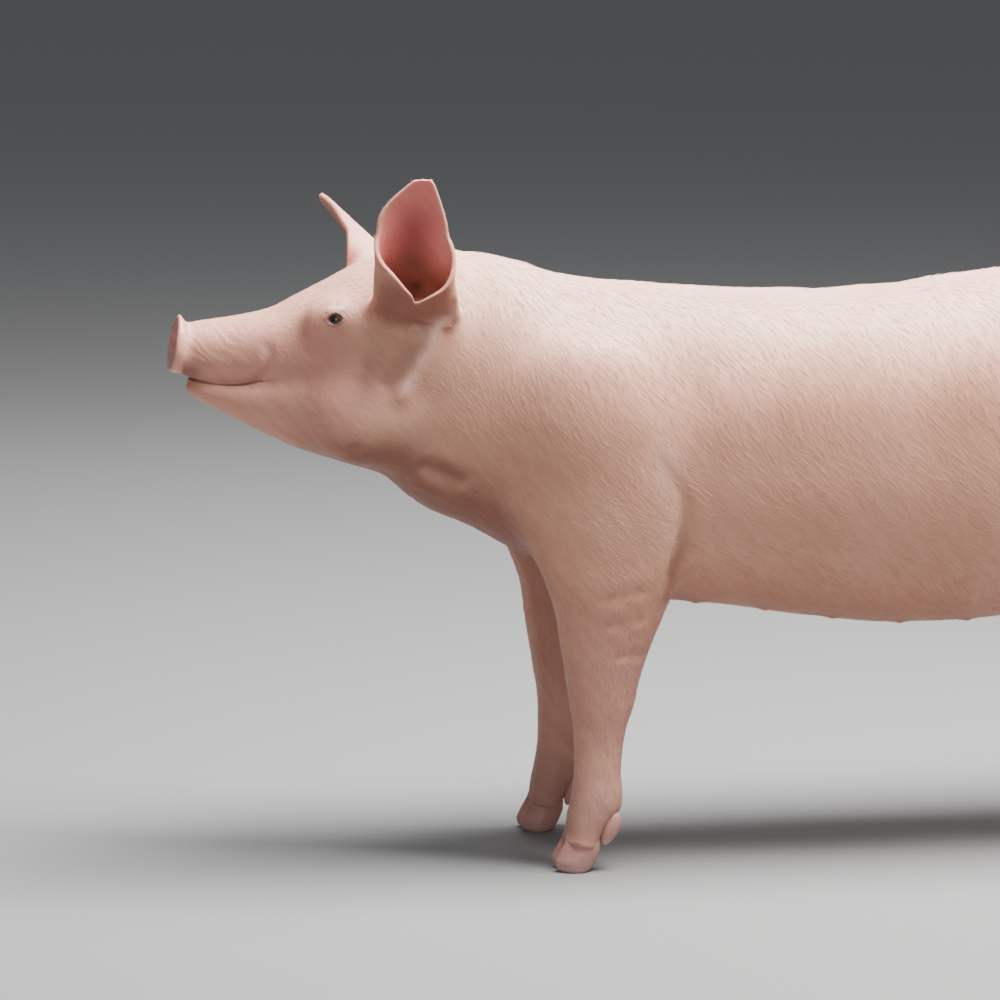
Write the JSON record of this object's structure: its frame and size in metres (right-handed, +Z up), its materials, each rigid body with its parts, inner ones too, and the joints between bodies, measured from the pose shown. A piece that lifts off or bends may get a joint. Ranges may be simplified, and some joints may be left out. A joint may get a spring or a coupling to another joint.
{
  "type": "pig",
  "caption": "Life-size standing young white pig, head raised, erect ears, curled tail, cloven hooves flat on the floor.",
  "frame": {"origin": "on the floor under the middle of the animal's bounding box", "axes": "+Z up, the head points to -Y, the animal's left side is at +X"},
  "size_m": [0.3401, 1.3638, 0.7668],
  "materials": {
    "skin": "satin",
    "snout": "satin",
    "ear": "satin",
    "coat": "satin",
    "hoof": "satin",
    "eye": "glossy"
  },
  "bodies": {
    "root": {"head": "skin", "neck": "skin", "trunk": "skin", "tail": "skin", "lower_jaw": "skin", "fore_leg_left": "skin", "fore_leg_right": "skin", "hind_leg_left": "skin", "hind_leg_right": "skin", "snout": "snout", "ear_left": "ear", "ear_right": "ear", "eye_left": "eye", "eye_right": "eye", "hoof_fore_left_outer": "hoof", "hoof_fore_left_inner": "hoof", "hoof_fore_right_outer": "hoof", "hoof_fore_right_inner": "hoof", "hoof_hind_left_outer": "hoof", "hoof_hind_left_inner": "hoof", "hoof_hind_right_outer": "hoof", "hoof_hind_right_inner": "hoof", "dewclaw_fore_left_outer": "hoof", "dewclaw_fore_left_inner": "hoof", "dewclaw_fore_right_outer": "hoof", "dewclaw_fore_right_inner": "hoof", "dewclaw_hind_left_outer": "hoof", "dewclaw_hind_left_inner": "hoof", "dewclaw_hind_right_outer": "hoof", "dewclaw_hind_right_inner": "hoof"}
  },
  "joints": []
}
